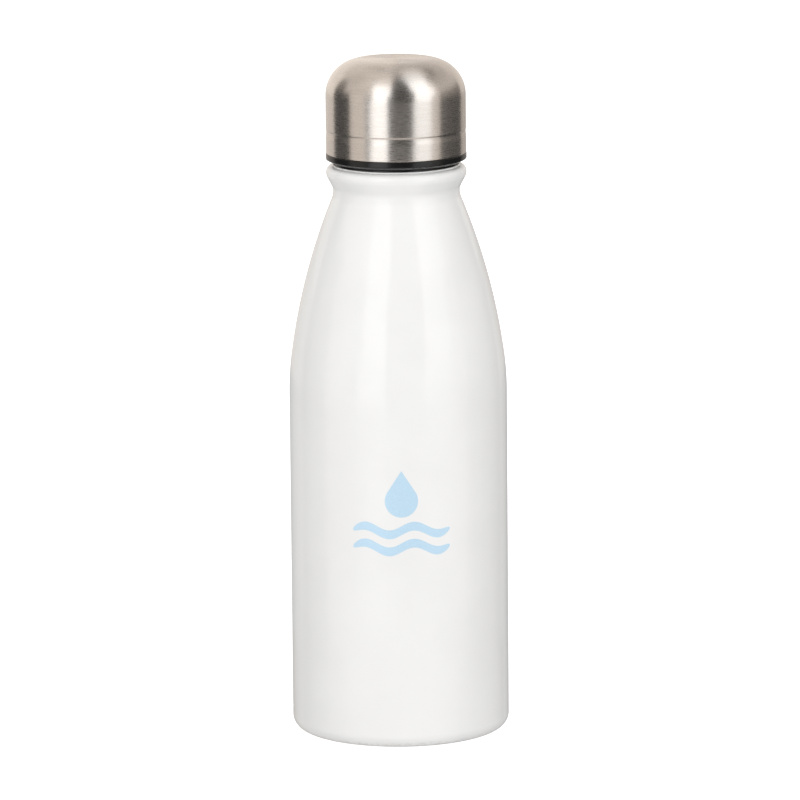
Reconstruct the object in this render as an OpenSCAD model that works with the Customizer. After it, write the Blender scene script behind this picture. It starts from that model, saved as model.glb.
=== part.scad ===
// Single-walled aluminium drinking bottle with a brushed steel screw cap.
// Millimetres, +Z up, origin at the centre of the base, where the bottle stands.
// Every outline is drawn in the half plane (radius, height) and turned round Z.

/* [Body] */
// Outer diameter of the straight body
body_d = 66; // [62:0.5:70]
// Thickness of the aluminium wall
wall = 0.7; // [0.5:0.1:1]
// Radius of the corner between side and base
base_corner_r = 4; // [3:0.5:6]
// Inner diameter of the flat ring that the bottle stands on
base_ring_d = 48; // [40:1:52]
// Height of the domed-in base at its centre
base_dome_h = 4; // [2:0.5:8]

/* [Shoulder] */
// Height at which the straight body ends
shoulder_z = 103.5; // [90:0.5:120]
// Radius of the arc that leaves the straight body
shoulder_blend_r = 96; // [80:1:110]
// Angle that this first arc turns through
shoulder_blend_angle = 7.7; // [6:0.1:9]
// Radius of the long arc of the shoulder
shoulder_r = 191; // [180:1:200]
// Outer diameter of the waist, the narrowest place under the neck bead
waist_d = 38.3; // [37.8:0.1:38.6]
// Radius of the hollow between shoulder and waist
waist_blend_r = 7; // [5:0.5:9]

/* [Neck] */
// Outer diameter of the rolled bead under the neck
bead_d = 42.4; // [42.2:0.1:43]
// Slope of the wall from waist to bead, from the vertical
bead_slope = 28; // [24:1:30]
// Radius of the hollow and of the round on either side of that slope
bead_blend_r = 3.7; // [3:0.1:4.5]
// Radius of the round from the bead to the foot of the collar
bead_top_r = 2; // [1.6:0.1:2]
// Height of the collar that stands on the bead, under the cap's skirt
collar_h = 0.4; // [0.3:0.05:0.6]
// Outer diameter of the neck, which is also the root of its thread
neck_d = 34; // [33.8:0.1:34.1]
// Height of the mouth above the collar
neck_h = 13.3; // [13.1:0.1:14.3]
// Thickness of the curled mouth rim
rim_t = 1.9; // [1.6:0.1:2.2]

/* [Thread] */
// Rise of the thread in one turn
thread_pitch = 4; // [3.8:0.1:4.2]
// Number of turns of thread on the neck, and in the cap
thread_turns = 1.9; // [1.5:0.1:2]
// Height of a thread above its root
thread_depth = 0.95; // [0.8:0.05:1]
// Width of a thread at its root
thread_root_w = 1.9; // [1.6:0.1:2]
// Width of a thread at its crest
thread_crest_w = 1.1; // [0.9:0.1:1.2]
// Radial gap between the cap's thread and the neck
thread_gap = 0.4; // [0.35:0.01:0.45]

/* [Cap] */
// Outer diameter of the steel cover
cap_d = 42.3; // [42:0.1:42.4]
// Height of the steel cover
cap_h = 28.4; // [28:0.2:34]
// Radius of the round between the cover's side and its flat top
cap_corner_r = 10.9; // [8:0.1:11]
// Thickness of the steel
steel_t = 0.5; // [0.4:0.1:0.6]
// Height of the locking groove above the cover's lower edge
groove_h = 6.8; // [6:0.1:9]
// Depth of the locking groove
groove_depth = 0.12; // [0.06:0.02:0.2]
// Height over which the groove deepens from its upper edge
groove_upper_h = 0.6; // [0.5:0.1:1]
// Height over which the groove runs out to its lower edge
groove_lower_h = 2.2; // [1:0.1:2.4]

/* [Insert] */
// Outer diameter of the lip that the steel cover stands on
lip_d = 42.5; // [42.5:0.1:42.8]
// Height of the lip's upright face
lip_h = 1.8; // [1.2:0.1:2]
// Outer diameter of the skirt below the lip
skirt_d = 38.3; // [38.2:0.1:38.6]
// Gap between the collar and the skirt
skirt_gap = 0.15; // [0.1:0.05:0.3]
// Thickness of the plate that closes the insert
plate_t = 1.8; // [1.4:0.1:2.2]
// Number of plates that cross inside the dome and carry it
rib_plates = 3; // [2:1:4]
// Thickness of these plates
rib_t = 1.2; // [1:0.1:1.6]
// Thickness of the silicone gasket
gasket_t = 1.6; // [1.2:0.1:2]

/* [Hidden] */
$fn = 96;

// Segments of an arc that turns through a right angle
arc_steps = 16;
// Segments of the long, nearly straight shoulder arc
shoulder_steps = 20;
// Segments in one turn of a thread
thread_steps = 48;
// Angle over which a thread runs out at each end
run_out_angle = 40;
// How far a thread reaches into the wall that carries it
thread_root_in = 0.35;
// Depth in the wall at which a thread starts, as a share of its height
thread_start = 0.2;
// Gap between the silicone gasket and the parts round it
gasket_gap = 0.15;
// Gap between the steel cover and the insert inside it
cover_gap = 0.1;
// Radius of the inside round where the neck leaves the collar's top
neck_fillet_r = 0.6;
// Radius of the round on the collar's upper edge
collar_round = 0.15;
// Height of the lip's slanting underside, and of the upright skirt below it
taper_h = 1;
skirt_h = 0.4;

body_r = body_d / 2;
waist_r = waist_d / 2;
bead_r = bead_d / 2;
neck_r = neck_d / 2;
cap_r = cap_d / 2;
lip_r = lip_d / 2;
skirt_r = skirt_d / 2;
ring_r = base_ring_d / 2;

// Sphere of the domed-in base, through its centre and the standing ring
dome_r = (ring_r * ring_r + base_dome_h * base_dome_h) / (2 * base_dome_h);

// Centres of the shoulder's two arcs, and the angle at which the long one ends:
// there it is tangent to the waist's hollow, which turns it upright at waist_r
blend_c = [body_r - shoulder_blend_r, shoulder_z];
shoulder_c = blend_c + (shoulder_blend_r - shoulder_r) * direction(shoulder_blend_angle);
shoulder_end = acos((waist_r + waist_blend_r - shoulder_c[0]) / (shoulder_r + waist_blend_r));
waist_c = shoulder_c + (shoulder_r + waist_blend_r) * direction(shoulder_end);
waist_z = waist_c[1];

// Straight stretch of the slope between the waist's hollow and the bead's round
slope_rise_r = bead_r - waist_r - 2 * bead_blend_r * (1 - cos(bead_slope));
slope_l = slope_rise_r / sin(bead_slope);
bead_z = waist_z + 2 * bead_blend_r * sin(bead_slope) + slope_l * cos(bead_slope);
collar_r = bead_r - bead_top_r;
ledge_z = bead_z + bead_top_r + collar_h;
rim_z = ledge_z + neck_h;

// Heights of the closed cap, from the bottom up
skirt_z = ledge_z + skirt_gap;
lip_z = skirt_z + skirt_h + taper_h;
cover_z = lip_z + lip_h + cover_gap / 2;
cap_top_z = cover_z + cap_h;
gasket_z = rim_z + gasket_gap / 2;
plate_z = gasket_z + gasket_t;
plate_top_z = plate_z + plate_t;
groove_z = cover_z + groove_h;
corner_z = cap_top_z - cap_corner_r;

// Radii inside the cap, from the neck outwards
crest_r = neck_r + thread_gap;
bore_r = crest_r + thread_depth;
insert_r = cap_r - steel_t - cover_gap;
thread_z = ledge_z + thread_root_w / 2 + 0.75;

// Unit vector at an angle in the outline's half plane
function direction(a) = [cos(a), sin(a)];

// Points along an arc round centre c, from angle a to angle b
function arc(c, r, a, b, n = arc_steps) = [for (i = [0:n]) c + r * direction(a + (b - a) * i / n)];

// Steps for an arc that turns less than a right angle
function steps(angle) = max(3, round(arc_steps * angle / 90));

// Points in the opposite order
function backwards(points) = [for (i = [len(points) - 1:-1:0]) points[i]];

// Outline of the bottle from the middle of its base to the neck, set in by "inset":
// 0 gives the outside and the wall thickness gives the inside
function bottle_outline(inset) = concat(
    arc([0, base_dome_h - dome_r], dome_r + inset, 90,
        asin((inset - base_dome_h + dome_r) / (dome_r + inset)), 12),
    arc([body_r - base_corner_r, base_corner_r], base_corner_r - inset, -90, 0),
    arc(blend_c, shoulder_blend_r - inset, 0, shoulder_blend_angle, 6),
    arc(shoulder_c, shoulder_r - inset, shoulder_blend_angle, shoulder_end, shoulder_steps),
    arc(waist_c, waist_blend_r + inset, 180 + shoulder_end, 180, steps(shoulder_end)),
    arc([waist_r + bead_blend_r, waist_z], bead_blend_r + inset, 180, 180 - bead_slope,
        steps(bead_slope)),
    arc([bead_r - bead_blend_r, bead_z], bead_blend_r - inset, -bead_slope, 0, steps(bead_slope)),
    arc([collar_r, bead_z], bead_top_r - inset, 0, 90),
    inset > 0 ? [] : arc([collar_r - collar_round, ledge_z - collar_round], collar_round, 0, 90, 4),
    arc([neck_r + neck_fillet_r, ledge_z + neck_fillet_r], neck_fillet_r + inset, 270, 180, 4),
    [[neck_r - inset, rim_z - rim_t / 2]]
);

// Depth of the locking groove at a height above its deepest line: half a wave each way
function groove_at(rise) =
    groove_depth * (1 + cos(180 * rise / (rise > 0 ? groove_upper_h : groove_lower_h))) / 2;

// Heights along the groove, from its lower edge to its upper one
function groove_rises(n) = concat(
    [for (i = [-n:-1]) groove_lower_h * i / n],
    [for (i = [0:n]) groove_upper_h * i / n]
);

// Outline of the steel cover from its lower edge to the middle of its top
function cover_outline(inset) = concat(
    [[cap_r - inset, cover_z]],
    [for (rise = groove_rises(8)) [cap_r - inset - groove_at(rise), groove_z + rise]],
    arc([cap_r - cap_corner_r, corner_z], cap_corner_r - inset, 0, 90),
    [[0, cap_top_z - inset]]
);

// Section of a thread at the angle a of its run, as four points round the ridge:
// it grows out of the wall at one end and sinks back into it at the other
function thread_ring(a, root_r, depth, root_in) =
    let (
        run = 360 * thread_turns,
        growth = min(1, min(a, run - a) / run_out_angle),
        crest = root_r + depth * (growth * (1 + thread_start) - thread_start),
        root = root_r - root_in,
        z = thread_pitch * a / 360
    )
    [for (p = [[root, -thread_root_w / 2], [crest, -thread_crest_w / 2],
               [crest, thread_crest_w / 2], [root, thread_root_w / 2]])
        [p[0] * cos(a), p[0] * sin(a), z + p[1]]];

// One right-hand thread ridge. A negative depth points it inwards, for the cap.
module thread(root_r, depth) {
    rings = round(thread_steps * thread_turns);
    inward = depth < 0;
    points = [for (i = [0:rings], p = thread_ring(360 * thread_turns * i / rings, root_r, depth,
                                                  inward ? -thread_root_in : thread_root_in)) p];
    sides = [for (i = [0:rings - 1], k = [0:3])
        let (n = (k + 1) % 4) [4 * i + k, 4 * i + n, 4 * i + 4 + n, 4 * i + 4 + k]];
    caps = [[3, 2, 1, 0], [for (k = [0:3]) 4 * rings + k]];
    faces = concat(sides, caps);
    polyhedron(points, inward ? [for (f = faces) backwards(f)] : faces);
}

// Aluminium bottle: spun wall, curled mouth rim and neck thread in one piece
module bottle_body() {
    color("white") {
        rotate_extrude() {
            polygon(concat(bottle_outline(0), backwards(bottle_outline(wall))));
            translate([neck_r + 0.1 - rim_t / 2, rim_z - rim_t / 2]) circle(d = rim_t);
        }
        translate([0, 0, thread_z]) thread(neck_r, thread_depth);
    }
}

// Drawn steel cover with its rolled locking groove
module cap_shell() {
    color("silver")
        rotate_extrude()
            polygon(concat(cover_outline(0), backwards(cover_outline(steel_t))));
}

// Space inside the steel cover above the insert's plate, for the ribs to fill
module dome_space() {
    rotate_extrude()
        polygon(concat(
            [[0, plate_top_z - 0.1], [insert_r, plate_top_z - 0.1]],
            arc([cap_r - cap_corner_r, corner_z], cap_corner_r - steel_t - cover_gap, 0, 90),
            [[0, cap_top_z - steel_t - cover_gap]]
        ));
}

// Moulded insert: lip and skirt, threaded socket, sealing plate and dome ribs
module cap_insert() {
    lip_round = 0.25;
    bore_chamfer = 0.3;
    wall_top_r = insert_r - 1.6;
    recess_r = insert_r - groove_depth - 0.1;
    recess_low = groove_z - groove_lower_h;
    recess_high = groove_z + groove_upper_h;
    color("#1c1c1c") {
        rotate_extrude()
            polygon(concat(
                [[bore_r + bore_chamfer, skirt_z], [skirt_r, skirt_z], [skirt_r, skirt_z + skirt_h]],
                arc([lip_r - lip_round, lip_z + lip_round], lip_round, -60, 0, 4),
                arc([lip_r - lip_round, lip_z + lip_h - lip_round], lip_round, 0, 90, 4),
                [[insert_r, lip_z + lip_h], [insert_r, recess_low - 0.3], [recess_r, recess_low + 0.3]],
                [[recess_r, recess_high - 0.3], [insert_r, recess_high + 0.3]],
                [[insert_r, corner_z], [wall_top_r, corner_z], [wall_top_r, plate_top_z]],
                [[0, plate_top_z], [0, plate_z], [bore_r, plate_z], [bore_r, skirt_z + bore_chamfer]]
            ));
        intersection() {
            dome_space();
            for (i = [0:rib_plates - 1])
                rotate([0, 0, 180 * i / rib_plates])
                    translate([-cap_r, -rib_t / 2, plate_top_z - 0.1])
                        cube([cap_d, rib_t, cap_h]);
        }
        translate([0, 0, thread_z]) rotate([0, 0, 180]) thread(bore_r, -thread_depth);
    }
}

// Silicone ring under the plate, which the mouth rim presses on
module cap_gasket() {
    gasket_in_r = neck_r + 0.1 - rim_t;
    color("gainsboro")
        translate([0, 0, gasket_z])
            difference() {
                cylinder(r = bore_r - gasket_gap, h = gasket_t - gasket_gap / 2);
                translate([0, 0, -1]) cylinder(r = gasket_in_r, h = gasket_t + 2);
            }
}

bottle_body();
cap_shell();
cap_insert();
cap_gasket();
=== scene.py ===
import math

import bpy
import numpy as np
from mathutils import Matrix, Vector


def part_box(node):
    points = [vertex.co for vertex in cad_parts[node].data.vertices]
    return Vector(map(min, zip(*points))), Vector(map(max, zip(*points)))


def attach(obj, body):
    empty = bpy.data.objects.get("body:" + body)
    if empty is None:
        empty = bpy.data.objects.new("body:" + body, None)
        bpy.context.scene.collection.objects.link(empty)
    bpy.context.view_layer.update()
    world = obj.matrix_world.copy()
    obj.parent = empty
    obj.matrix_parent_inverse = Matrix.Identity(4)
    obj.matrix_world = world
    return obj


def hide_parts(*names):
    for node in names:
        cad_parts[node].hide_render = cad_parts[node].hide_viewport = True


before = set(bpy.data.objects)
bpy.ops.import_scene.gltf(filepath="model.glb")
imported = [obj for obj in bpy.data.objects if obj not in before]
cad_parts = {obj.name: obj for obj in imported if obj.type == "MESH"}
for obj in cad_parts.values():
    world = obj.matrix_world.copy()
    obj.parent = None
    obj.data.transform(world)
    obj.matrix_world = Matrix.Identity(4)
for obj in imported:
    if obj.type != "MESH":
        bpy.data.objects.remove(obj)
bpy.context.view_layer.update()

# Outlines are drawn in millimetres in the half plane (radius, height), as in the CAD
# source, and turned round Z. Meshes are in metres. The sizes that come first are those of
# the CAD design that can't be read from a node's box.
MM = 0.001

# The body's wall and base
WALL = 0.7
BASE_CORNER_R = 4
BASE_RING_R = 24
BASE_DOME_H = 4

# The shoulder's two arcs, the waist, the bead and the collar
SHOULDER_Z = 103.5
SHOULDER_BLEND_R = 96
SHOULDER_BLEND_ANGLE = 7.7
SHOULDER_R = 191
WAIST_R = 19.15
WAIST_BLEND_R = 7
BEAD_R = 21.2
BEAD_SLOPE = 28
BEAD_BLEND_R = 3.7
BEAD_TOP_R = 2
COLLAR_H = 0.4
COLLAR_ROUND = 0.15

# The neck with its curled rim, and the thread that both the neck and the cap have
NECK_R = 17
NECK_FILLET_R = 0.6
RIM_T = 1.9
RIM_OUT = 0.1
THREAD_PITCH = 4
THREAD_TURNS = 1.9
THREAD_DEPTH = 0.95
THREAD_ROOT_W = 1.9
THREAD_CREST_W = 1.1
THREAD_RISE = 1.7
RUN_OUT_ANGLE = 40

# The steel cover and its locking groove
CAP_CORNER_R = 10.9
STEEL_T = 0.5
COVER_GAP = 0.1
GROOVE_H = 6.8
GROOVE_DEPTH = 0.12
GROOVE_UPPER_H = 0.6
GROOVE_LOWER_H = 2.2

# The insert with its ribs, and the gasket
LIP_H = 1.8
SKIRT_R = 19.15
SKIRT_H = 0.4
TAPER_H = 1
BORE_R = 18.35
PLATE_T = 1.8
INSERT_WALL = 1.6
RIB_ARMS = 6
RIB_T = 1.2
RIB_OVERLAP = 0.1
GASKET_GAP = 0.15

# Heights and radii that the frame gives, and those that follow from them
_, body_high = (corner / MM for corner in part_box("bottle_body"))
shell_low, shell_high = (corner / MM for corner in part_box("cap_shell"))
insert_low, insert_high = (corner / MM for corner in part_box("cap_insert"))
gasket_low, gasket_high = (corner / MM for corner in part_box("cap_gasket"))
BODY_R = body_high.x
RIM_Z = body_high.z
CAP_R = shell_high.x
COVER_Z = shell_low.z
CAP_TOP_Z = shell_high.z
CORNER_Z = CAP_TOP_Z - CAP_CORNER_R
GROOVE_Z = COVER_Z + GROOVE_H
LIP_R = insert_high.x
SKIRT_Z = insert_low.z
LIP_Z = SKIRT_Z + SKIRT_H + TAPER_H
INSERT_R = CAP_R - STEEL_T - COVER_GAP
PLATE_Z = gasket_high.z + GASKET_GAP / 2
PLATE_TOP_Z = PLATE_Z + PLATE_T

# Faces in one whole turn of a mesh
SEGMENTS = 192


# ---------------------------------------------------------------- outlines


def direction(angle):
    """Unit vector at an angle in degrees, as (radius, height)."""
    return np.array((math.cos(math.radians(angle)), math.sin(math.radians(angle))))


def arc(centre, radius, start, end, steps=16):
    """Points along an arc, with its angles in degrees."""
    return [np.array(centre) + radius * direction(start + (end - start) * i / steps)
            for i in range(steps + 1)]


def line(start, end, step):
    """Evenly spaced points from start to end, about a step apart."""
    start, end = np.array(start, float), np.array(end, float)
    count = max(1, math.ceil(np.linalg.norm(end - start) / step))
    return [start + (end - start) * i / count for i in range(count + 1)]


def shoulder():
    """Centres of the shoulder's arcs and of the waist's hollow, and where the long arc ends."""
    blend = np.array((BODY_R - SHOULDER_BLEND_R, SHOULDER_Z))
    centre = blend + (SHOULDER_BLEND_R - SHOULDER_R) * direction(SHOULDER_BLEND_ANGLE)
    reach = SHOULDER_R + WAIST_BLEND_R
    end = math.degrees(math.acos((WAIST_R + WAIST_BLEND_R - centre[0]) / reach))
    return blend, centre, end, centre + reach * direction(end)


BLEND_C, SHOULDER_C, SHOULDER_END, WAIST_C = shoulder()
WAIST_Z = WAIST_C[1]
SLOPE_RUN = BEAD_R - WAIST_R - 2 * BEAD_BLEND_R * (1 - direction(BEAD_SLOPE)[0])
SLOPE_RISE = SLOPE_RUN / math.tan(math.radians(BEAD_SLOPE))
BEAD_Z = WAIST_Z + 2 * BEAD_BLEND_R * direction(BEAD_SLOPE)[1] + SLOPE_RISE
COLLAR_R = BEAD_R - BEAD_TOP_R
LEDGE_Z = BEAD_Z + BEAD_TOP_R + COLLAR_H
THREAD_Z = LEDGE_Z + THREAD_RISE


def bottle_outline(inset):
    """The bottle from the middle of its base up to the neck, set in by a distance."""
    dome_r = (BASE_RING_R ** 2 + BASE_DOME_H ** 2) / (2 * BASE_DOME_H)
    dome_end = math.degrees(math.asin((inset - BASE_DOME_H + dome_r) / (dome_r + inset)))
    side_r = BODY_R - inset
    # rows just clear of the arcs, which keep smooth shading from running on past them
    side_low = (side_r, BASE_CORNER_R + 0.3)
    side_high = (side_r, SHOULDER_Z - 0.5)
    collar_low = (COLLAR_R, LEDGE_Z - COLLAR_H + 0.04)
    collar_round_c = (COLLAR_R - COLLAR_ROUND, LEDGE_Z - COLLAR_ROUND)
    collar = [collar_low] + arc(collar_round_c, COLLAR_ROUND, 0, 90, 5)
    return (
        arc((0, BASE_DOME_H - dome_r), dome_r + inset, 90, dome_end, 16)
        + arc((BODY_R - BASE_CORNER_R, BASE_CORNER_R), BASE_CORNER_R - inset, -90, 0, 16)
        + line(side_low, side_high, 8)
        + arc(BLEND_C, SHOULDER_BLEND_R - inset, 0, SHOULDER_BLEND_ANGLE, 12)
        + arc(SHOULDER_C, SHOULDER_R - inset, SHOULDER_BLEND_ANGLE, SHOULDER_END, 32)[1:]
        + arc(WAIST_C, WAIST_BLEND_R + inset, 180 + SHOULDER_END, 180, 8)[1:]
        + arc((WAIST_R + BEAD_BLEND_R, WAIST_Z), BEAD_BLEND_R + inset, 180, 180 - BEAD_SLOPE, 8)[1:]
        + arc((BEAD_R - BEAD_BLEND_R, BEAD_Z), BEAD_BLEND_R - inset, -BEAD_SLOPE, 0, 8)
        + arc((COLLAR_R, BEAD_Z), BEAD_TOP_R - inset, 0, 90, 10)[1:]
        + ([] if inset else collar)
        + arc((NECK_R + NECK_FILLET_R, LEDGE_Z + NECK_FILLET_R), NECK_FILLET_R + inset, 270, 180, 6)
    )


def groove_at(rise):
    """Depth of the cover's locking groove at a height above its deepest line."""
    reach = GROOVE_UPPER_H if rise > 0 else GROOVE_LOWER_H
    return GROOVE_DEPTH * (1 + math.cos(math.pi * rise / reach)) / 2


def cover_outline(inset):
    """The steel cover from its lower edge up to the middle of its top, set in by a distance."""
    rises = [*np.linspace(-GROOVE_LOWER_H, 0, 17)[:-1], *np.linspace(0, GROOVE_UPPER_H, 11)]
    side_r = CAP_R - inset
    groove = [(side_r - groove_at(rise), GROOVE_Z + rise) for rise in rises]
    above_edge = 0.6
    return (
        line((side_r, COVER_Z + above_edge), groove[0], 1.5)[:-1]
        + groove
        + line(groove[-1], (side_r, CORNER_Z), 1.5)[1:-1]
        + arc((CAP_R - CAP_CORNER_R, CORNER_Z), CAP_CORNER_R - inset, 0, 90, 40)
        + line((CAP_R - CAP_CORNER_R, CAP_TOP_Z - inset), (0, CAP_TOP_Z - inset), 1)[1:]
    )


# ---------------------------------------------------------------- meshes


def thread_height(angle, z, start):
    """How far a thread that starts at an angle stands out of its wall, at an angle and height."""
    height = np.zeros_like(angle)
    for turn in range(math.ceil(THREAD_TURNS)):
        run = ((angle - start) % 360) + 360 * turn
        growth = np.clip(np.minimum(run, 360 * THREAD_TURNS - run) / RUN_OUT_ANGLE, 0, 1)
        off = np.abs(z - THREAD_Z - THREAD_PITCH * run / 360)
        flank = np.clip((THREAD_ROOT_W / 2 - off) / (THREAD_ROOT_W - THREAD_CREST_W) * 2, 0, 1)
        height = np.maximum(height, THREAD_DEPTH * growth * flank ** 2 * (3 - 2 * flank))
    return height


def revolved(outline, thread=None, segments=SEGMENTS):
    """Closed mesh of an outline turned round Z, as vertices in metres and faces.

    The outline has its material on its left. One that starts and ends on the axis closes
    there, and any other closes on its own start. thread is (wall radius, side, start angle):
    the wall at that radius bulges to that side as a screw thread. Faces come in the
    outline's order, one whole ring of them after another.
    """
    points = np.array(outline)
    on_axis = points[0][0] < 1e-6
    inner = points[1:-1] if on_axis else points
    count = len(inner)
    angles = np.arange(segments) * 360 / segments
    radius = np.repeat(inner[:, :1], segments, 1)
    height = np.repeat(inner[:, 1:], segments, 1)
    if thread:
        wall_r, side, start = thread
        on_wall = np.abs(inner[:, 0] - wall_r) < 1e-6
        wall_angles = np.repeat(angles[None], on_wall.sum(), 0)
        radius[on_wall] += side * thread_height(wall_angles, height[on_wall], start)
    turn = np.radians(angles)
    rings = np.stack([radius * np.cos(turn), radius * np.sin(turn), height], 2)
    vertices = list(rings.reshape(-1, 3) * MM)

    def at(ring, segment):
        return (ring % count) * segments + segment % segments

    faces = [(at(ring, i), at(ring, i + 1), at(ring + 1, i + 1), at(ring + 1, i))
             for ring in range(count - 1 if on_axis else count) for i in range(segments)]
    if on_axis:
        pole = len(vertices)
        vertices += [(0, 0, points[0][1] * MM), (0, 0, points[-1][1] * MM)]
        first = [(pole, at(0, i + 1), at(0, i)) for i in range(segments)]
        last = [(pole + 1, at(count - 1, i), at(count - 1, i + 1)) for i in range(segments)]
        faces = first + faces + last
    return vertices, faces


def tube_along(sections):
    """Closed mesh through sections of the same number of points, in metres."""
    corners = len(sections[0])
    vertices = [point for section in sections for point in section]

    def at(section, corner):
        return section * corners + corner % corners

    faces = [(at(i, corner), at(i + 1, corner), at(i + 1, corner + 1), at(i, corner + 1))
             for i in range(len(sections) - 1) for corner in range(corners)]
    start = [at(0, corner) for corner in range(corners)]
    end = [at(len(sections) - 1, corner) for corner in reversed(range(corners))]
    return vertices, faces + [start, end]


def mesh_object(name, body, *parts, sharp_angle=32):
    """Smooth-shaded piece of one or more closed meshes, which rides on a body.

    Its edges stay sharp where it turns by more than sharp_angle.
    """
    vertices, faces = [], []
    for part_vertices, part_faces in parts:
        first = len(vertices)
        vertices += [tuple(map(float, v)) for v in part_vertices]
        faces += [[first + i for i in face] for face in part_faces]
    mesh = bpy.data.meshes.new(name)
    mesh.from_pydata(vertices, [], faces)
    mesh.shade_smooth()
    mesh.set_sharp_from_angle(angle=math.radians(sharp_angle))
    piece = bpy.data.objects.new(name, mesh)
    bpy.context.scene.collection.objects.link(piece)
    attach(piece, body)
    return piece


def bottle_mesh():
    """Spun wall with its threaded neck and curled rim, and how many faces are its outside."""
    curl_r = RIM_T / 2
    curl_c = (NECK_R + RIM_OUT - curl_r, RIM_Z - curl_r)
    outside = -math.degrees(math.acos((NECK_R - curl_c[0]) / curl_r))
    inside = 360 - math.degrees(math.acos((NECK_R - WALL - curl_c[0]) / curl_r))
    curl = arc(curl_c, curl_r, outside, inside, 40)
    row = 0.2
    neck = line((NECK_R, LEDGE_Z + NECK_FILLET_R + row), curl[0], row)[:-1]
    outer = bottle_outline(0) + neck + curl
    wall = revolved(outer + bottle_outline(WALL)[::-1], thread=(NECK_R, 1, 0))
    return wall, (len(outer) - 1) * SEGMENTS


def shell_mesh():
    """Drawn steel cover with a rounded lower edge."""
    edge_r = 0.16
    inside_r = CAP_R - STEEL_T
    edge = (
        arc((inside_r + edge_r, COVER_Z + edge_r), edge_r, 180, 270, 5)
        + arc((CAP_R - edge_r, COVER_Z + edge_r), edge_r, -90, 0, 5)
    )
    return revolved(cover_outline(STEEL_T)[::-1] + edge + cover_outline(0))


def insert_mesh():
    """Moulded insert: threaded socket, skirt, lip, and the wall inside the cover."""
    lip_round = 0.25
    chamfer = 0.3
    row = 0.25
    lip_round_r = LIP_R - lip_round
    lip_top_z = LIP_Z + LIP_H
    wall_top_r = INSERT_R - INSERT_WALL
    recess_clearance = 0.1
    recess_slope = 0.3
    recess_r = INSERT_R - GROOVE_DEPTH - recess_clearance
    recess_low = GROOVE_Z - GROOVE_LOWER_H
    recess_high = GROOVE_Z + GROOVE_UPPER_H
    recess = [(INSERT_R, recess_low - recess_slope), (recess_r, recess_low + recess_slope),
              (recess_r, recess_high - recess_slope), (INSERT_R, recess_high + recess_slope)]
    return revolved(
        [(0, PLATE_Z)]
        + line((BORE_R, PLATE_Z), (BORE_R, SKIRT_Z + chamfer), row)
        + [(BORE_R + chamfer, SKIRT_Z), (SKIRT_R, SKIRT_Z), (SKIRT_R, SKIRT_Z + SKIRT_H)]
        + arc((lip_round_r, LIP_Z + lip_round), lip_round, -60, 0, 6)
        + arc((lip_round_r, lip_top_z - lip_round), lip_round, 0, 90, 6)
        + [(INSERT_R, lip_top_z)]
        + recess
        + [(INSERT_R, CORNER_Z), (wall_top_r, CORNER_Z), (wall_top_r, PLATE_TOP_Z)]
        + [(0, PLATE_TOP_Z)],
        thread=(BORE_R, -1, 180),
    )


def rib_mesh():
    """Crossing plates inside the dome, as one star of arms that follows its inside."""
    flat_r = CAP_R - CAP_CORNER_R
    inner_corner_r = CAP_CORNER_R - STEEL_T - COVER_GAP
    bottom = PLATE_TOP_Z - RIB_OVERLAP
    half_turn = math.pi / RIB_ARMS
    notch = RIB_T / 2 / math.tan(half_turn)
    stations = np.linspace(notch, INSERT_R - INSERT_WALL + RIB_OVERLAP, 16)

    def top(distance):
        """Height just under the cover's inside, at a distance from the axis."""
        past = max(0, distance - flat_r)
        return CORNER_Z + math.sqrt(inner_corner_r ** 2 - past ** 2)

    vertices, faces = [], []
    for arm in range(RIB_ARMS):
        turn = 2 * half_turn * arm
        along = np.array((math.cos(turn), math.sin(turn), 0))
        across = np.array((-math.sin(turn), math.cos(turn), 0)) * RIB_T / 2
        for reach in stations:
            up = top(math.hypot(reach, RIB_T / 2))
            vertices += [(reach * along + side * across + (0, 0, z)) * MM
                         for side, z in ((-1, bottom), (-1, up), (1, up), (1, bottom))]

    def at(arm, station, corner):
        """Index of an arm's corner. Neighbouring arms share the corners where they meet."""
        if station == 0 and corner < 2:
            arm, corner = (arm - 1) % RIB_ARMS, 3 - corner
        return (arm * len(stations) + station) * 4 + corner

    last = len(stations) - 1
    for arm in range(RIB_ARMS):
        for i in range(last):
            faces += [(at(arm, i, corner), at(arm, i + 1, corner),
                       at(arm, i + 1, (corner + 1) % 4), at(arm, i, (corner + 1) % 4))
                      for corner in range(4)]
        faces.append([at(arm, last, corner) for corner in (0, 3, 2, 1)])
    faces.append([at(arm, 0, 2) for arm in range(RIB_ARMS)])
    faces.append([at(arm, 0, 3) for arm in reversed(range(RIB_ARMS))])
    return without_loose(vertices, faces)


def without_loose(vertices, faces):
    """The same mesh without the vertices that no face uses."""
    used = sorted({i for face in faces for i in face})
    place = {old: new for new, old in enumerate(used)}
    return [vertices[i] for i in used], [[place[i] for i in face] for face in faces]


def gasket_mesh():
    """Silicone ring with rounded edges."""
    edge_r = 0.2
    low, high = gasket_low.z, gasket_high.z
    inner_r, outer_r = NECK_R + RIM_OUT - RIM_T, BORE_R - GASKET_GAP
    corners = ((outer_r - edge_r, low + edge_r, -90), (outer_r - edge_r, high - edge_r, 0),
               (inner_r + edge_r, high - edge_r, 90), (inner_r + edge_r, low + edge_r, 180))
    outline = []
    for r, z, start in corners:
        outline += arc((r, z), edge_r, start, start + 90, 6)
    return revolved(outline)


# ---------------------------------------------------------------- print on the front

# Height of the print's middle, and how far round to the right it sits, in degrees
PRINT_Z = 73
PRINT_SKEW = 1.2
# How far the ink stands out of the body's surface, and how far it is sunk into it
INK_OUT = 0.02
INK_IN = 0.04
# The drop's radius, its tip above its own middle, and its middle above the print's
DROP_R = 5
DROP_TIP = 9.2
DROP_UP = 3.4
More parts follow.
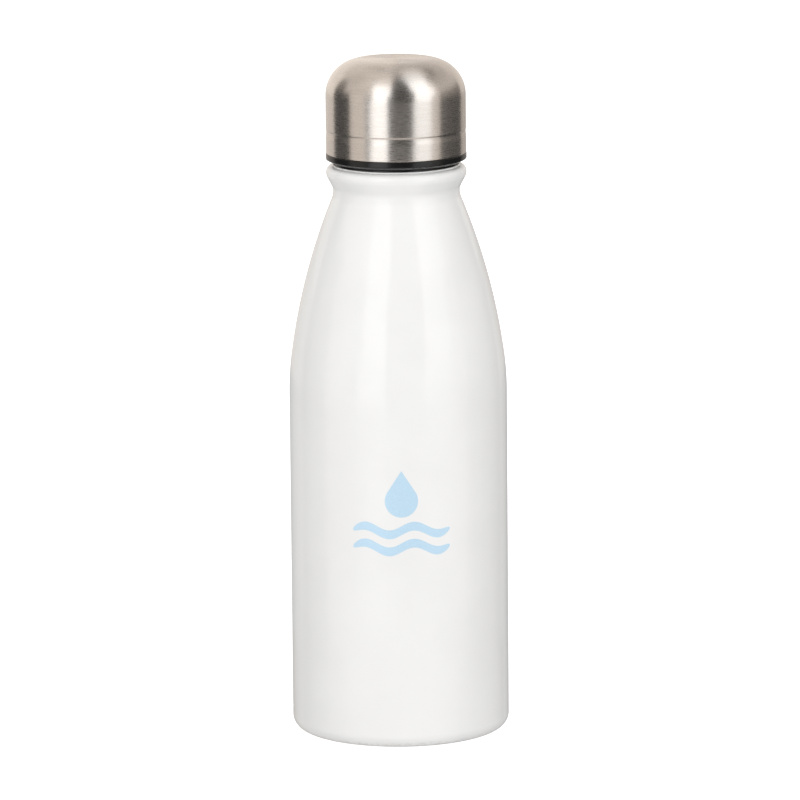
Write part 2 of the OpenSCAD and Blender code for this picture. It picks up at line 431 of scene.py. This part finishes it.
# Half the length and thickness of a wave's band, the swing and length of its wave, and
# where the two bands' middles are, above the print's
WAVE_HALF_W = 15
WAVE_HALF_T = 1.35
WAVE_HEIGHT = 1.3
WAVE_LENGTH = 15
WAVES_UP = (-5.6, -10.8)


def on_body(across, z, out):
    """Point a distance across the straight body from the print's middle, and out of it."""
    angle = math.radians(PRINT_SKEW - 90) + across / BODY_R
    r = BODY_R + out
    return np.array((r * math.cos(angle), r * math.sin(angle), z)) * MM


def print_mesh(half_width, upper, lower):
    """Thin closed patch of ink between two curves, each a height at a distance across.

    Its sections crowd towards the ends, where the curves meet in a round.
    """
    sections = []
    for turn in np.linspace(-90, 90, 73)[1:-1]:
        across = half_width * direction(turn)[1]
        low, high = PRINT_Z + lower(across), PRINT_Z + upper(across)
        sections.append([on_body(across, low, INK_OUT), on_body(across, high, INK_OUT),
                         on_body(across, high, -INK_IN), on_body(across, low, -INK_IN)])
    return tube_along(sections)


def drop_mesh():
    """Water drop: a circle with straight flanks up to its tip."""
    tangent = math.acos(DROP_R / DROP_TIP)
    flank_across, flank_up = DROP_R * math.sin(tangent), DROP_R * math.cos(tangent)

    def round_half(across):
        return math.sqrt(max(0, DROP_R ** 2 - across ** 2))

    def upper(across):
        if abs(across) > flank_across:
            return DROP_UP + round_half(across)
        return DROP_UP + DROP_TIP - (DROP_TIP - flank_up) * abs(across) / flank_across

    def lower(across):
        return DROP_UP - round_half(across)

    return print_mesh(DROP_R, upper, lower)


def wave_mesh(middle):
    """Wavy band that narrows to round ends."""
    def edge(side):
        """The band's upper edge for side 1, and its lower one for side -1."""
        def height(across):
            centre = middle + WAVE_HEIGHT * math.sin(2 * math.pi * across / WAVE_LENGTH)
            return centre + side * WAVE_HALF_T * (1 - (across / WAVE_HALF_W) ** 8) ** 0.5
        return height

    return print_mesh(WAVE_HALF_W, edge(1), edge(-1))


# ---------------------------------------------------------------- materials


class Surface:
    """Principled material, with short calls that add nodes and link them to it."""

    def __init__(self, name, **sockets):
        self.material = bpy.data.materials.new(name)
        self.material.use_nodes = True
        self.tree = self.material.node_tree
        self.shader = self.tree.nodes["Principled BSDF"]
        for socket, value in sockets.items():
            self.shader.inputs[socket.replace("_", " ")].default_value = value
        self.position = self.add("ShaderNodeTexCoord").outputs["Object"]
        split = self.add("ShaderNodeSeparateXYZ", Vector=self.position)
        self.x, self.y, self.z = split.outputs

    def add(self, kind, settings=None, **inputs):
        """New node with its settings, and each input linked to a socket or set to a value.

        An input goes by its name, with _ for a space, or by its number, as in i0 and i1.
        """
        node = self.tree.nodes.new(kind)
        for key, value in (settings or {}).items():
            setattr(node, key, value)
        for key, value in inputs.items():
            numbered = key[0] == "i" and key[1:].isdigit()
            socket = node.inputs[int(key[1:]) if numbered else key.replace("_", " ")]
            if isinstance(value, bpy.types.NodeSocket):
                self.tree.links.new(value, socket)
            else:
                socket.default_value = value
        return node

    def math(self, operation, first, second):
        """Result of a math node."""
        return self.add("ShaderNodeMath", {"operation": operation}, i0=first, i1=second).outputs[0]

    def vector_math(self, operation, **inputs):
        """Node that does vector maths, whose first output is a vector and second a value."""
        return self.add("ShaderNodeVectorMath", {"operation": operation}, **inputs)

    def noise(self, scale, detail=2.0, roughness=0.5, vector=None):
        """Value of a noise texture, about 0 to 1, with scale in features per metre."""
        return self.add("ShaderNodeTexNoise", Vector=vector or self.position, Scale=scale,
                        Detail=detail, Roughness=roughness).outputs[0]

    def ramp(self, value, low, high, to_low=0.0, to_high=1.0):
        """The value's range from low to high, eased into another range and clamped there."""
        return self.add("ShaderNodeMapRange", {"interpolation_type": "SMOOTHSTEP"}, Value=value,
                        From_Min=low, From_Max=high, To_Min=to_low, To_Max=to_high).outputs[0]

    def mix(self, factor, first, second):
        """Colour between two colours, as far as factor says."""
        # the node's colour sockets are inputs 6 and 7 and output 2
        node = self.add("ShaderNodeMix", {"data_type": "RGBA"}, i0=factor, i6=first, i7=second)
        return node.outputs[2]

    def link(self, output, socket):
        """Feeds an output to one of the material's own sockets."""
        self.tree.links.new(output, self.shader.inputs[socket])

    def bump(self, height, distance):
        """Raises the surface by up to a distance in metres, on top of earlier bumps."""
        node = self.add("ShaderNodeBump", Height=height, Distance=distance, Strength=1.0)
        normal = self.shader.inputs["Normal"]
        if normal.is_linked:
            self.tree.links.new(normal.links[0].from_socket, node.inputs["Normal"])
        self.tree.links.new(node.outputs[0], normal)


def rgb(red, green, blue):
    """Opaque colour as the four numbers that a socket takes."""
    return red, green, blue, 1.0


def white_lacquer():
    """Gloss white coating: faint orange peel, dust-fine texture, and rougher worn patches by the
    standing ring, darkened brownish as painted contact shade.
    """
    look = Surface("white_lacquer", Roughness=0.12, IOR=1.45)
    cloud = look.ramp(look.noise(45, 3), 0.35, 0.65)
    white = look.mix(cloud, rgb(0.87, 0.87, 0.865), rgb(0.89, 0.89, 0.885))
    # painted contact shade along with wear: patches in the lowest 2 mm go brownish grey, and
    # rougher
    near_floor = look.ramp(look.z, 0.0002, 0.0022, 1, 0)
    patches = look.ramp(look.noise(900, 4, 0.6), 0.42, 0.7, 0, 0.55)
    wear_and_contact_shade = look.math("MULTIPLY", near_floor, patches)
    look.link(look.mix(wear_and_contact_shade, white, rgb(0.45, 0.4, 0.36)), "Base Color")
    grain = look.noise(2600, 2)
    gloss = look.ramp(grain, 0.3, 0.7, 0.1, 0.14)
    look.link(look.math("ADD", gloss, look.math("MULTIPLY", wear_and_contact_shade, 0.4)), "Roughness")
    look.bump(look.noise(620, 1.5, 0.4), 0.000006)
    look.bump(grain, 0.0000008)
    return look.material


def inside_coating():
    """Satin clear coat over bare aluminium, as sprayed inside a drinking bottle."""
    look = Surface("inside_coating", Metallic=0.75, Roughness=0.38, Coat_Weight=0.5,
                   Coat_Roughness=0.2)
    spray = look.ramp(look.noise(700, 4), 0.3, 0.7)
    look.link(look.mix(spray, rgb(0.62, 0.6, 0.56), rgb(0.7, 0.68, 0.64)), "Base Color")
    look.bump(spray, 0.00001)
    return look.material


def brushed_steel():
    """Steel brushed round its axis: fine lines that follow each turn, on side and top alike."""
    look = Surface("brushed_steel", Metallic=1.0, Roughness=0.27, Anisotropic=0.75,
                   Anisotropic_Rotation=0.25)
    tangent = look.add("ShaderNodeTangent", {"direction_type": "RADIAL", "axis": "Z"})
    look.link(tangent.outputs[0], "Tangent")
    flat = look.add("ShaderNodeCombineXYZ", X=look.x, Y=look.y).outputs[0]
    out = look.vector_math("NORMALIZE", i0=flat).outputs[0]
    radius = look.vector_math("LENGTH", i0=flat).outputs[1]
    # grows steadily down the top, the corner and the side, so lines keep their spacing
    along = look.math("SUBTRACT", radius, look.z)

    def lines(round_scale, per_metre, detail):
        """Noise stretched round the axis, with its lines so many per metre apart."""
        rim = look.vector_math("SCALE", i0=out, Scale=round_scale).outputs[0]
        rise = look.math("MULTIPLY", along, per_metre)
        step = look.add("ShaderNodeCombineXYZ", Z=rise).outputs[0]
        place = look.vector_math("ADD", i0=rim, i1=step).outputs[0]
        return look.noise(1.0, detail, 0.6, place)

    coarse = lines(3.0, 2400, 3)
    fine = lines(9.0, 9000, 2)
    both = look.math("ADD", look.math("MULTIPLY", coarse, 0.5), look.math("MULTIPLY", fine, 0.5))
    tone = look.ramp(both, 0.35, 0.65)
    look.link(look.mix(tone, rgb(0.63, 0.595, 0.56), rgb(0.69, 0.655, 0.62)), "Base Color")
    look.link(look.ramp(fine, 0.3, 0.7, 0.24, 0.33), "Roughness")
    look.bump(coarse, 0.000004)
    look.bump(fine, 0.000002)
    return look.material


def black_plastic():
    """Glossy black polypropylene with a faint moulded texture."""
    look = Surface("black_plastic", Roughness=0.2, Specular_IOR_Level=0.35)
    grain = look.noise(2200, 3)
    black = look.mix(look.ramp(grain, 0.3, 0.7), rgb(0.006, 0.006, 0.006), rgb(0.01, 0.01, 0.01))
    look.link(black, "Base Color")
    look.link(look.ramp(look.noise(300, 2), 0.3, 0.7, 0.16, 0.24), "Roughness")
    look.bump(grain, 0.000003)
    return look.material


def silicone():
    """Milky translucent silicone."""
    look = Surface("silicone", Roughness=0.5, Subsurface_Weight=0.4, Subsurface_Scale=0.001)
    look.shader.inputs["Subsurface Radius"].default_value = (1.0, 0.9, 0.8)
    grain = look.noise(1500, 3)
    milky = look.mix(look.ramp(grain, 0.3, 0.7), rgb(0.74, 0.74, 0.72), rgb(0.8, 0.8, 0.78))
    look.link(milky, "Base Color")
    look.bump(grain, 0.000004)
    return look.material


def pale_blue_ink():
    """Screen-printed ink: slightly matt, with the mesh's faint dapple."""
    look = Surface("pale_blue_ink", Roughness=0.34, Coat_Weight=0.5, Coat_Roughness=0.15)
    dapple = look.ramp(look.noise(3500, 2), 0.35, 0.65)
    look.link(look.mix(dapple, rgb(0.50, 0.70, 0.86), rgb(0.54, 0.74, 0.90)), "Base Color")
    look.bump(dapple, 0.000002)
    return look.material


# ---------------------------------------------------------------- the pieces


def finish_piece(piece, slot, *materials):
    """Gives a piece its materials; the slot argument, the record's slot that it follows, is not
    used.
    """
    for material in materials:
        piece.data.materials.append(material)
    return piece


bottle_wall, outside_faces = bottle_mesh()
bottle = finish_piece(mesh_object("bottle_shell", "bottle", bottle_wall),
                      "lacquered_aluminium", white_lacquer(), inside_coating())
for face in bottle.data.polygons[outside_faces:]:
    face.material_index = 1
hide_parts("bottle_body")

finish_piece(mesh_object("front_print", "bottle", drop_mesh(), *map(wave_mesh, WAVES_UP)),
             "print_ink", pale_blue_ink())

shell = finish_piece(mesh_object("cap_cover", "cap", shell_mesh()),
                     "brushed_steel", brushed_steel())
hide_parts("cap_shell")

insert = finish_piece(mesh_object("cap_plug", "cap", insert_mesh(), rib_mesh()),
                      "black_plastic", black_plastic())
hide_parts("cap_insert")

gasket = finish_piece(mesh_object("cap_seal_ring", "seal", gasket_mesh()),
                      "silicone", silicone())
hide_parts("cap_gasket")


# ---------------------------------------------------------------- studio

WHITE = (1.0, 1.0, 1.0)
WARM = (1.0, 0.91, 0.835)
DAYLIGHT = (1.0, 0.985, 0.965)

# Sizes of the set, in metres. The bounce is the floor's light on the object, and it starts
# just outside the ring that the object stands on.
FLOOR_HALF = 9
BACKDROP_R = 8.8
BACKDROP_H = 3.5
BOUNCE_INNER_R = 0.031
BOUNCE_OUTER_R = 2.5
BOUNCE_Z = 0.0005
OVERHEAD_R = 5
OVERHEAD_Z = 3.4
CARD_R = 0.5

# The darker card under the one overhead: its left, right, front and back edge, and its height
OVERHEAD_DARK = (-0.12, 0.42, -0.7, 2.5, 3.3)

# Degrees that one face of a curved card spans
CARD_STEP = 4

# The area lights are all at one elevation and distance from the middle of the bottle
LIGHT_AIM = Vector((0, 0, 0.1))
LIGHT_ELEVATION = 25
LIGHT_DISTANCE = 1.4
LIGHT_SIZE = 0.8

# Soft boxes, dark cards and the lit tabletop, as rings of cards round the object that only
# its gloss sees. Each ring has its lower and upper edge in metres. Then, from straight
# behind and round, comes where each card ends, as an azimuth in degrees from the camera's
# side that is positive to its right, with the card's brightness and tint.
CARD_RINGS = (
    (-0.8, -0.08, (
        (-124, 0.4, WARM), (-80, 0.07, WHITE), (-60, 0.33, WARM), (60, 0.85, WARM),
        (78, 0.17, WARM), (140, 0.04, WHITE), (180, 0.3, WHITE))),
    (-0.08, 0.035, (
        (-121, 0.45, WHITE), (-80, 0.065, WHITE), (-51, 0.85, WARM), (-43.5, 0.6, WHITE),
        (-12.5, 0.95, WHITE), (26, 0.4, WHITE), (58.5, 0.85, WHITE), (75, 0.8, WARM),
        (96, 0.09, WHITE), (133, 0.06, WHITE), (180, 0.3, WHITE))),
    (0.035, 0.16, (
        (-120, 0.75, WARM), (-80, 0.065, WHITE), (-51, 0.85, WARM), (-43, 0.45, WHITE),
        (-13, 1.8, WHITE), (27, 0.06, WHITE), (58.5, 1.35, WHITE), (76, 0.8, WARM),
        (96, 0.09, WHITE), (133, 0.06, WHITE), (180, 0.5, WARM))),
    (0.16, 0.31, (
        (-120, 1.05, WARM), (-80, 0.065, WHITE), (-51, 0.85, WARM), (-38, 0.45, WHITE),
        (-13, 1.85, WHITE), (31, 0.03, WHITE), (61, 1.7, WHITE), (77, 0.8, WARM),
        (133, 0.2, WARM), (180, 0.85, WARM))),
    (0.31, 0.5, (
        (-120, 1.0, WARM), (-97, 0.25, WARM), (-80, 0.85, WARM), (-40, 0.75, WARM),
        (-9, 2.0, WHITE), (31.5, 0.03, WHITE), (70, 1.9, WHITE), (78, 1.0, WARM),
        (140, 0.72, WARM), (180, 0.8, WARM))),
    (0.5, 0.74, (
        (-120, 0.85, WARM), (-80, 0.7, WARM), (-44, 0.85, WARM), (-8, 2.0, WHITE),
        (28, 0.03, WHITE), (66, 1.9, WHITE), (78, 1.0, WARM), (140, 0.58, WARM),
        (180, 0.65, WARM))),
    (0.74, 1.0, (
        (-168, 0.9, WARM), (-157, 0.5, WARM), (-120, 0.85, WARM), (-80, 0.7, WARM),
        (-43, 0.85, WARM), (-9, 1.15, WARM), (28, 0.04, WHITE), (75, 1.7, WHITE),
        (84, 1.0, WHITE), (150, 0.3, WARM), (180, 0.52, WARM))),
    (1.0, 1.3, (
        (-176, 0.5, WARM), (-168, 0.95, WARM), (-157, 0.35, WARM), (-43, 0.8, WARM),
        (-9, 1.05, WARM), (27, 0.12, WHITE), (60, 1.4, WHITE), (90, 1.2, WHITE),
        (125, 0.8, WARM), (165, 0.85, WARM), (180, 0.6, WARM))),
    (1.3, 3.2, (
        (-176, 0.5, WARM), (-168, 0.85, WARM), (-157, 0.45, WARM), (-43, 0.8, WARM),
        (-9, 0.95, WARM), (27, 0.25, WHITE), (125, 1.1, WHITE), (170, 0.85, WARM),
        (180, 0.55, WARM))),
)


def glow(name, strength, tint=WHITE, matt=0.0):
    """Material that gives off light, with some of a matt white in it."""
    material = bpy.data.materials.new(name)
    material.use_nodes = True
    shader = material.node_tree.nodes["Principled BSDF"]
    shader.inputs["Base Color"].default_value = rgb(matt, matt, matt)
    shader.inputs["Roughness"].default_value = 1
    shader.inputs["Specular IOR Level"].default_value = 0
    shader.inputs["Emission Color"].default_value = rgb(*tint)
    shader.inputs["Emission Strength"].default_value = strength
    return material


def stage_piece(name, vertices, faces, *materials, camera=False, diffuse=False, glossy=False):
    """Piece of the set, which only the named kinds of ray see and which casts no shadow."""
    mesh = bpy.data.meshes.new(name)
    mesh.from_pydata([tuple(map(float, v)) for v in vertices], [], faces)
    for material in materials:
        mesh.materials.append(material)
    piece = bpy.data.objects.new(name, mesh)
    bpy.context.scene.collection.objects.link(piece)
    piece.visible_camera = camera
    piece.visible_diffuse = diffuse
    piece.visible_glossy = glossy
    piece.visible_shadow = False
    return piece


def rectangle(x_from, x_to, y_from, y_to, z):
    """One level face, as vertices and faces."""
    corners = [(x_from, y_from, z), (x_to, y_from, z), (x_to, y_to, z), (x_from, y_to, z)]
    return corners, [(0, 1, 2, 3)]


def band(inner_r, outer_r, low, high, segments=64):
    """Strip round Z, from one radius and height to another, as vertices and faces."""
    vertices, faces = [], []
    for i in range(segments):
        x, y = direction(360 * i / segments)
        vertices += [(inner_r * x, inner_r * y, low), (outer_r * x, outer_r * y, high)]
        after = 2 * ((i + 1) % segments)
        faces.append((2 * i, 2 * i + 1, after + 1, after))
    return vertices, faces


def card_ring(name, low, high, cards):
    """One ring of upright curved cards, which only gloss sees."""
    vertices, faces, owners = [], [], []
    start = -180
    for owner, (end, _, _) in enumerate(cards):
        steps = max(1, round((end - start) / CARD_STEP))
        for turn in np.linspace(start, end, steps + 1):
            x, y = CARD_R * direction(turn - 90)
            vertices += [(x, y, low), (x, y, high)]
        first = len(vertices) - 2 * (steps + 1)
        faces += [(first + i, first + i + 1, first + i + 3, first + i + 2)
                  for i in range(0, 2 * steps, 2)]
        owners += [owner] * steps
        start = end
    materials = [glow(f"{name}_{i}", strength, tint) for i, (_, strength, tint) in enumerate(cards)]
    ring = stage_piece(name, vertices, faces, *materials, glossy=True)
    for face, owner in zip(ring.data.polygons, owners):
        face.material_index = owner


def outward(azimuth, elevation):
    """Unit vector from the object, at an azimuth from the camera's side and an elevation."""
    turn, lift = math.radians(azimuth), math.radians(elevation)
    level = math.cos(lift)
    return Vector((math.sin(turn) * level, -math.cos(turn) * level, math.sin(lift)))


def soft_light(name, azimuth, power):
    """Large area light, which gloss doesn't see."""
    data = bpy.data.lights.new(name, "AREA")
    data.energy = power
    data.size = LIGHT_SIZE
    light = bpy.data.objects.new(name, data)
    away = outward(azimuth, LIGHT_ELEVATION)
    light.location = LIGHT_AIM + LIGHT_DISTANCE * away
    light.rotation_euler = away.to_track_quat("Z", "Y").to_euler()
    light.visible_glossy = False
    light.visible_camera = False
    bpy.context.scene.collection.objects.link(light)


stage_piece("floor", *rectangle(-FLOOR_HALF, FLOOR_HALF, -FLOOR_HALF, FLOOR_HALF, 0),
            glow("floor_white", 0.75, matt=0.72), camera=True)
stage_piece("backdrop", *band(BACKDROP_R, BACKDROP_R, 0, BACKDROP_H),
            glow("backdrop_white", 1.0), camera=True)
stage_piece("floor_bounce", *band(BOUNCE_INNER_R, BOUNCE_OUTER_R, BOUNCE_Z, BOUNCE_Z),
            glow("bounce_white", 0.75), diffuse=True)

for index, (low, high, cards) in enumerate(CARD_RINGS):
    card_ring(f"card_ring_{index}", low, high, cards)
stage_piece("card_overhead", *band(0, OVERHEAD_R, OVERHEAD_Z, OVERHEAD_Z),
            glow("overhead_white", 0.82, WARM), glossy=True)
stage_piece("card_overhead_dark", *rectangle(*OVERHEAD_DARK),
            glow("overhead_grey", 0.45, WARM), glossy=True)

soft_light("key_left", -30, 4.8)
soft_light("key_right", 30, 4.8)
soft_light("fill_back", 180, 5)

world = bpy.data.worlds.new("studio")
world.use_nodes = True
sky = world.node_tree.nodes["Background"]
sky.inputs["Color"].default_value = rgb(*DAYLIGHT)
sky.inputs["Strength"].default_value = 0.64
bpy.context.scene.world = world
bpy.context.scene.view_settings.view_transform = "Standard"

# ---------------------------------------------------------------- camera

# Metres and degrees, and millimetres for the lens and the sensor
CAMERA_TARGET = Vector((0.00052, 0, 0.10103))
CAMERA_DISTANCE = 2.089
CAMERA_ELEVATION = 10.707
CAMERA_ROLL = 0.506
LENS = 309.7
SENSOR_W = 36

camera_data = bpy.data.cameras.new("camera")
camera_data.lens = LENS
camera_data.sensor_width = SENSOR_W
camera = bpy.data.objects.new("camera", camera_data)
to_camera = outward(0, CAMERA_ELEVATION)
camera.matrix_world = (
    Matrix.Translation(CAMERA_TARGET + CAMERA_DISTANCE * to_camera)
    @ to_camera.to_track_quat("Z", "Y").to_matrix().to_4x4()
    @ Matrix.Rotation(math.radians(-CAMERA_ROLL), 4, "Z")
)
bpy.context.scene.collection.objects.link(camera)
bpy.context.scene.camera = camera
